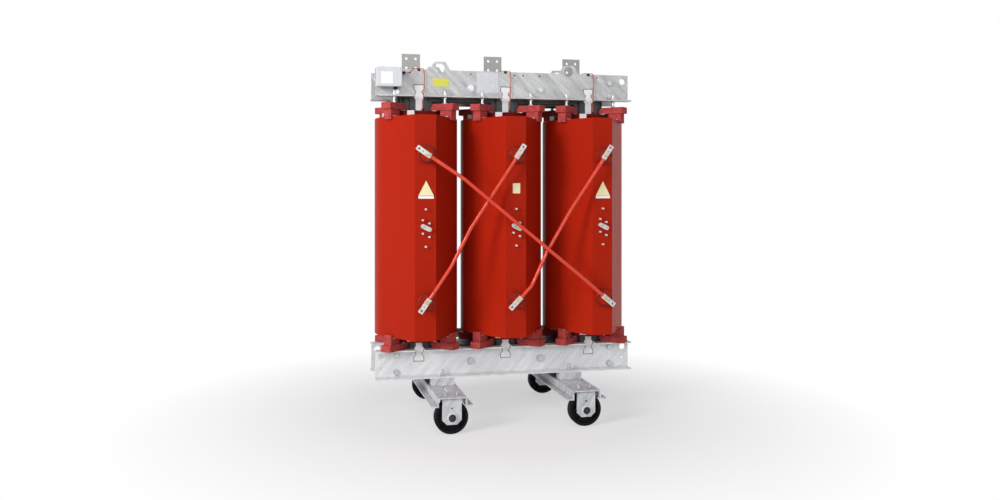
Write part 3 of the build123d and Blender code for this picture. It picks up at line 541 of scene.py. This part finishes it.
def make_lead(side, points):
    """A round tube along one NURBS line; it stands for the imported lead."""
    line = bpy.data.curves.new("lead_" + side, "CURVE")
    line.dimensions = "3D"
    line.bevel_depth = lead_radius
    line.bevel_resolution = 4
    line.resolution_u = 16
    line.use_fill_caps = True
    spline = line.splines.new("NURBS")
    spline.points.add(len(points) - 1)
    for knot, place in zip(spline.points, points):
        knot.co = (*place, 1.0)
    spline.order_u = 3
    spline.use_endpoint_u = True
    line.materials.append(lead)
    made = bpy.data.objects.new("smooth_lead_" + side, line)
    bpy.context.scene.collection.objects.link(made)
    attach(made, "root")
    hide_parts("sensor_lead_" + side)
    return made


for side, x in coil_x.items():
    if side == "left":
        start = [gland_end, (x - 0.062, gland_end[1], gland_end[2]), (x - 0.036, drop_y, over_clip)]
    else:
        start = [(x - 0.060, web_y + 0.016, frame_top - 0.025), (x - 0.040, web_y + 0.016, over_clip)]
    make_lead(side, lead_route(x, start))
print("leads from", round(over_clip, 3), "down to", round(plug_top, 3))

# %% [markdown]
# ## Bare plates on the windings
# The outer windings carry a pale triangular plate over a white strip, and the middle one a pale
# rectangle. They are left blank: a thin plate with a soft edge and a slightly uneven print base.

# %% Plates on the panels
plate_yellow = moulding("plate_pale_yellow", (0.93, 0.85, 0.48), 0.5, spread=0.03)
plate_white = moulding("plate_white", (0.96, 0.97, 0.98), 0.5, spread=0.03)
plate_thick = 0.0012
plate_shift = 0.004
tri_half = 0.046
tri_low, tri_high = mid_z + 0.189, mid_z + 0.278
for side in ("left", "right"):
    x = coil_x[side] + plate_shift
    outline = [(x - tri_half, tri_low), (x + tri_half, tri_low), (x, tri_high)]
    points, faces = plate_shape(outline, panel_y, plate_thick, 0.0004)
    make_piece("triangle_plate_" + side, points, faces, plate_yellow)
    outline = rounded_rectangle(x - tri_half, x + tri_half, tri_low - 0.017, tri_low - 0.002, 0.002)
    points, faces = plate_shape(outline, panel_y, plate_thick, 0.0004)
    make_piece("strip_plate_" + side, points, faces, plate_white)
x = coil_x["centre"] + plate_shift
outline = rounded_rectangle(x - 0.023, x + 0.023, mid_z + 0.203, mid_z + 0.264, 0.002)
points, faces = plate_shape(outline, panel_y, plate_thick, 0.0004)
make_piece("square_plate_centre", points, faces, plate_yellow)
print("winding plates from z", round(tri_low, 3), "to", round(tri_high, 3))

# %% [markdown]
# ## Beads round the terminal bosses
# A dark bead rings the front edge of each boss. Its near-black resin is painted shade, standing for
# the shaded groove round the boss. A ring is a circle carried round a circle: one angle runs round
# the boss, the other round the bead.

# %% Boss beads
def ring_shape(x, y, z, radius, bead, around=56, section=12):
    """Points at (radius + bead cos t) from the boss axis and bead sin t in front of the panel."""
    a = np.linspace(0.0, 2 * np.pi, around, endpoint=False)
    t = np.linspace(0.0, 2 * np.pi, section, endpoint=False)
    aa, tt = np.meshgrid(a, t, indexing="ij")
    reach = radius + bead * np.cos(tt)
    points = np.stack([x + reach * np.cos(aa), y - bead * np.sin(tt), z + reach * np.sin(aa)],
                      axis=-1).reshape(-1, 3)
    i, j = np.meshgrid(np.arange(around), np.arange(section), indexing="ij")
    i2, j2 = (i + 1) % around, (j + 1) % section
    faces = np.stack([i * section + j, i2 * section + j, i2 * section + j2, i * section + j2],
                     axis=-1)
    return points, faces.reshape(-1, 4)


# Painted shade: the bead's near-black resin stands for the shade round each boss.
boss_shade_resin = cast_resin("boss_shade_bead_resin", (0.20, 0.011, 0.006), (0.13, 0.008, 0.005), 0.26, 0.4)
term_low, term_high = corner("hv_terminals", 0), corner("hv_terminals", 1)
insert_r = 0.015                # radius of the metal insert in the boss
boss_height = 0.048
rim_radius, rim_bead = 0.0440, 0.0060
boss_y = panel_y - boss_height
boss_z = (float(term_high[2]) - insert_r, float(term_low[2]) + insert_r)
for side, x in coil_x.items():
    for word, z in zip(("upper", "lower"), boss_z):
        points, faces = ring_shape(x, boss_y + 0.004, z, rim_radius, rim_bead)
        make_piece("boss_bead_%s_%s" % (word, side), points, faces, boss_shade_resin,
                   smooth=True)
print("boss heights", [round(z, 3) for z in boss_z])

# %% [markdown]
# ## Plates on the upper frame
# A yellow plate and a larger embossed rating plate sit on the front web. The rating plate is made
# bare, with only shallow rows that stand for the stamped fields, and a rivet in each corner.

# %% Yellow plate and rating plate
frame_yellow = moulding("frame_plate_yellow", (0.72, 0.68, 0.07), 0.45, spread=0.06, coat=0.1)
yellow_x, yellow_z = (-0.463, -0.363), (0.071, 0.121)     # z is measured from the plate's foot
foot_z = upper_low[2]
outline = rounded_rectangle(*yellow_x, foot_z + yellow_z[0], foot_z + yellow_z[1], 0.004)
points, faces = plate_shape(outline, web_y, 0.0015, 0.0005)
make_piece("yellow_plate", points, faces, frame_yellow)


def etched_finish(name):
    """Brushed plate with faint blank fields: bands from a brick pattern, with no writing."""
    shop = Shop(name, roughness=0.4, metallic=0.5)
    where = shop.place((1.0, 1.0, 1.0), (math.radians(90), 0.0, 0.0))
    fields = shop.node("ShaderNodeTexBrick", {"offset": 0.37, "squash": 1.0},
                       {"Vector": where, "Scale": 1.0, "Mortar Size": 0.0018, "Mortar Smooth": 0.3,
                        "Brick Width": 0.047, "Row Height": 0.0135}, out=1)
    cloud = shop.noise(60.0, 4.0)
    tone = (cloud * 0.7 + fields * 0.3).clamp()
    colour = shop.blend(tone, (0.62, 0.63, 0.66), (0.40, 0.41, 0.44))
    return shop.wear(Base_Color=colour, Roughness=0.34 + cloud * 0.2,
                     Normal=shop.bump(1.0 - fields, 0.5, 0.0006))


etched = etched_finish("etched_plate")
rating_x, rating_z, rating_thick, rivet_in = (-0.185, -0.045), (0.036, 0.168), 0.0018, 0.007
outline = rounded_rectangle(*rating_x, foot_z + rating_z[0], foot_z + rating_z[1], 0.004)
points, faces = plate_shape(outline, web_y, rating_thick, 0.0006)
make_piece("rating_plate", points, faces, etched)
rivets = [(px, pz) for pz in (rating_z[0] + rivet_in, rating_z[1] - rivet_in)
          for px in (rating_x[0] + rivet_in, rating_x[1] - rivet_in)]
for i, (px, pz) in enumerate(rivets):
    points, faces = dome(px, web_y - rating_thick, foot_z + pz, 0.003, 0.0014)
    make_piece("rating_rivet_%d" % i, points, faces, plated, smooth=True)
print("frame plates on the web at", round(web_y, 3))

# %% [markdown]
# ## The sensor box front
# The lid is held by four low screws and carries a white label, left blank here.

# %% Lid label and screws
lid_y = float(lid_low[1])
outline = rounded_rectangle(lid_low[0] + 0.026, lid_low[0] + 0.098,
                            lid_low[2] + 0.016, lid_high[2] - 0.028, 0.002)
points, faces = plate_shape(outline, lid_y, 0.0008, 0.0003)
make_piece("lid_label", points, faces, plate_white)
screw_radius, screw_height = 0.0045, 0.0015
screw_in = ((0.010, 0.011), (0.010, -0.011), (-0.010, 0.011), (-0.010, -0.011))
for i, (px, pz) in enumerate(screw_in):
    x = (lid_low[0] if px > 0 else lid_high[0]) + px
    z = (lid_low[2] if pz > 0 else lid_high[2]) + pz
    points, faces = dome(x, lid_y, z, screw_radius, screw_height)
    make_piece("lid_screw_%d" % i, points, faces, tinned, smooth=True)
print("lid front at", round(lid_y, 3))

# %% [markdown]
# ## Stage
# A pale floor keeps the object's shadow. Away from the object it fades to the white of the
# backdrop, but only for the camera and for reflections, so it adds no light to the object.

# %% Floor and world
pale_rays = ("Is Camera Ray", "Is Glossy Ray", "Is Transmission Ray")
fade_from, fade_to = 0.9, 2.4       # distances from the middle, in metres


def floor_finish():
    shop = Shop("stage_floor", roughness=0.9)
    shop.plug(shop.shader.inputs["Base Color"], (0.86, 0.86, 0.86))
    x, y, z = shop.split(shop.place())
    far = shop.node("ShaderNodeMath", {"operation": "SQRT"}, {0: x * x + y * y})
    fade = 0.50 + far.ramp(fade_from, fade_to) * 0.50
    glow = shop.node("ShaderNodeEmission", {}, {"Color": (1.0, 1.0, 1.0), "Strength": 1.0})
    path = shop.tree.nodes.new("ShaderNodeLightPath")
    seen = Wire(shop, path.outputs[pale_rays[0]])
    for ray in pale_rays[1:]:
        seen = seen + Wire(shop, path.outputs[ray])
    amount = (seen * fade).clamp()
    mix = shop.tree.nodes.new("ShaderNodeMixShader")
    shop.plug(mix.inputs[0], amount)
    shop.tree.links.new(shop.shader.outputs[0], mix.inputs[1])
    shop.tree.links.new(glow.socket, mix.inputs[2])
    shop.tree.links.new(mix.outputs[0], shop.out.inputs["Surface"])
    return shop.material


reach = 40.0
mesh = bpy.data.meshes.new("floor")
corners = [(-reach, -reach, 0), (reach, -reach, 0), (reach, reach, 0), (-reach, reach, 0)]
mesh.from_pydata(corners, [], [(0, 1, 2, 3)])
mesh.materials.append(floor_finish())
floor = bpy.data.objects.new("floor", mesh)
bpy.context.scene.collection.objects.link(floor)

world = bpy.data.worlds.new("studio")
bpy.context.scene.world = world
world.use_nodes = True
tree = world.node_tree
tree.nodes.clear()
world_out = tree.nodes.new("ShaderNodeOutputWorld")
fill = tree.nodes.new("ShaderNodeBackground")
fill.inputs["Color"].default_value = (0.93, 0.96, 1.0, 1.0)
fill.inputs["Strength"].default_value = 0.27     # soft light from all round
white = tree.nodes.new("ShaderNodeBackground")
white.inputs["Color"].default_value = (1, 1, 1, 1)
white.inputs["Strength"].default_value = 1.0
path = tree.nodes.new("ShaderNodeLightPath")
choose = tree.nodes.new("ShaderNodeMixShader")
seen = path.outputs[pale_rays[0]]
for ray in pale_rays[1:]:
    either = tree.nodes.new("ShaderNodeMath")
    either.operation = "MAXIMUM"
    tree.links.new(seen, either.inputs[0])
    tree.links.new(path.outputs[ray], either.inputs[1])
    seen = either.outputs[0]
tree.links.new(seen, choose.inputs[0])
tree.links.new(fill.outputs[0], choose.inputs[1])
tree.links.new(white.outputs[0], choose.inputs[2])
tree.links.new(choose.outputs[0], world_out.inputs["Surface"])
print("stage ready")

# %% [markdown]
# ## Light
# One large soft panel from the left models the windings: their left sides are bright and the
# right facets fall away. It stands well back, so that both ends of the unit get much the same. A
# weaker panel in front lights the flat faces, and a very weak one on the right opens the shadows.

# %% Soft panels
def panel_light(name, place, target, size, power, colour):
    lamp = bpy.data.lights.new(name, "AREA")
    lamp.shape = "RECTANGLE"
    lamp.size, lamp.size_y = size
    lamp.energy = power
    lamp.color = colour
    made = bpy.data.objects.new(name, lamp)
    bpy.context.scene.collection.objects.link(made)
    made.location = place
    aim = np.array(target, float) - np.array(place, float)
    aim /= np.linalg.norm(aim)
    made.rotation_euler = (math.acos(-aim[2]), 0.0, math.atan2(-aim[0], aim[1]))
    return made


panel_light("key", (-7.4, -4.9, 3.9), (0.0, 0.0, 1.1), (2.6, 4.6), 560.0, (1.0, 0.985, 0.96))
panel_light("front", (-0.4, -8.0, 4.0), (0.0, 0.0, 1.2), (3.6, 2.4), 120.0, (0.98, 0.99, 1.0))
panel_light("right", (5.0, -2.0, 2.4), (0.0, 0.0, 1.1), (2.0, 3.0), 14.0, (0.93, 0.96, 1.0))
print("lights ready")

# %% [markdown]
# ## Camera
# The camera stands to the left, looks level and keeps the uprights upright. Its frame is lowered
# by a lens shift, as an architect's camera does, so that the wheels are inside the picture.

# %% Camera
camera_data = bpy.data.cameras.new("camera")
camera_data.sensor_width = 36.0
camera_data.lens = 32.18
camera_data.shift_x = 0.0120
camera_data.shift_y = -0.0594
camera_data.clip_end = 200.0
camera = bpy.data.objects.new("camera", camera_data)
bpy.context.scene.collection.objects.link(camera)
camera.location = (-1.366, -5.597, 1.420)
camera.rotation_euler = (math.radians(90.0), 0.0, math.radians(-12.9))
bpy.context.scene.camera = camera
bpy.context.scene.view_settings.view_transform = "Standard"
print("camera at", tuple(round(v, 3) for v in camera.location))
